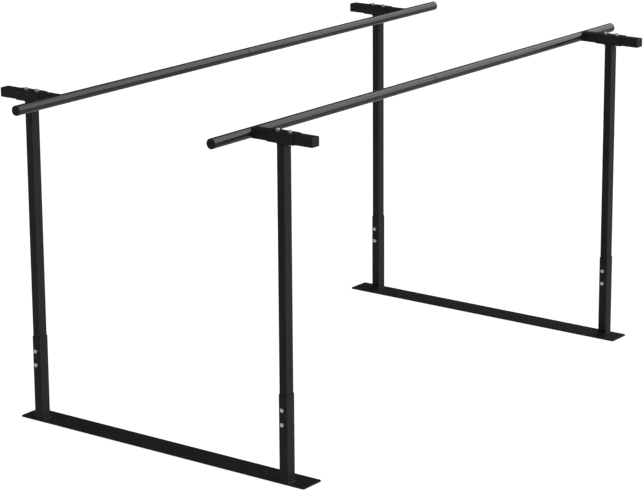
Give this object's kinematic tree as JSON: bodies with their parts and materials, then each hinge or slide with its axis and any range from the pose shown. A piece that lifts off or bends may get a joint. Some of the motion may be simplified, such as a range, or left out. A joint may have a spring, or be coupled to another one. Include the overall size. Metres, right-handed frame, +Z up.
{
  "type": "parallel bars",
  "caption": "Free-standing parallel bars: round rails on telescopic bolted uprights over flat steel base strips, adjustable in height and width.",
  "frame": {"origin": "on the floor, under the middle of the part", "axes": "+X to the right across the rails, +Y to the rear along the rails, +Z up"},
  "size_m": [1.365, 2.5, 1.215],
  "materials": {
    "black_powder_coat": "semi-gloss black powder coat on steel",
    "grey_rail_finish": "glossy dark grey coating on round steel tube",
    "zinc_plated_steel": "bright zinc plate",
    "bare_steel": "oiled bare steel",
    "black_plastic": "matt moulded black plastic"
  },
  "bodies": {
    "base": {"front_base_plate": "black_powder_coat", "rear_base_plate": "black_powder_coat", "front_left_socket": "black_powder_coat", "front_left_socket_bolts": "zinc_plated_steel", "front_left_socket_nuts": "zinc_plated_steel", "front_right_socket": "black_powder_coat", "front_right_socket_bolts": "zinc_plated_steel", "front_right_socket_nuts": "zinc_plated_steel", "rear_left_socket": "black_powder_coat", "rear_left_socket_bolts": "zinc_plated_steel", "rear_left_socket_nuts": "zinc_plated_steel", "rear_right_socket": "black_powder_coat", "rear_right_socket_bolts": "zinc_plated_steel", "rear_right_socket_nuts": "zinc_plated_steel"},
    "left_uprights": {"front_left_upright": "black_powder_coat", "front_left_head_sleeve": "black_powder_coat", "front_left_arm_bolts": "zinc_plated_steel", "front_left_arm_nuts": "zinc_plated_steel", "rear_left_upright": "black_powder_coat", "rear_left_head_sleeve": "black_powder_coat", "rear_left_arm_bolts": "zinc_plated_steel", "rear_left_arm_nuts": "zinc_plated_steel"},
    "left_rail": {"front_left_arm": "black_powder_coat", "front_left_arm_end_cap": "black_plastic", "rear_left_arm": "black_powder_coat", "rear_left_arm_end_cap": "black_plastic", "left_rail_front_half": "grey_rail_finish", "left_rail_front_cap": "black_plastic", "left_rail_rear_half": "grey_rail_finish", "left_rail_rear_cap": "black_plastic", "left_rail_spigot": "bare_steel", "left_rail_spigot_screws": "bare_steel"},
    "right_uprights": {"front_right_upright": "black_powder_coat", "front_right_head_sleeve": "black_powder_coat", "front_right_arm_bolts": "zinc_plated_steel", "front_right_arm_nuts": "zinc_plated_steel", "rear_right_upright": "black_powder_coat", "rear_right_head_sleeve": "black_powder_coat", "rear_right_arm_bolts": "zinc_plated_steel", "rear_right_arm_nuts": "zinc_plated_steel"},
    "right_rail": {"front_right_arm": "black_powder_coat", "front_right_arm_end_cap": "black_plastic", "rear_right_arm": "black_powder_coat", "rear_right_arm_end_cap": "black_plastic", "right_rail_front_half": "grey_rail_finish", "right_rail_front_cap": "black_plastic", "right_rail_rear_half": "grey_rail_finish", "right_rail_rear_cap": "black_plastic", "right_rail_spigot": "bare_steel", "right_rail_spigot_screws": "bare_steel"}
  },
  "joints": [
    {"name": "left_rail_height", "type": "slide", "parent": "base", "child": "left_uprights", "axis": [0, 0, 1], "range_m": [0, 0.1]},
    {"name": "left_rail_width", "type": "slide", "parent": "left_uprights", "child": "left_rail", "axis": [1, 0, 0], "range_m": [-0.025, 0.025]},
    {"name": "right_rail_height", "type": "slide", "parent": "base", "child": "right_uprights", "axis": [0, 0, 1], "range_m": [0, 0.1]},
    {"name": "right_rail_width", "type": "slide", "parent": "right_uprights", "child": "right_rail", "axis": [1, 0, 0], "range_m": [-0.025, 0.025]}
  ]
}
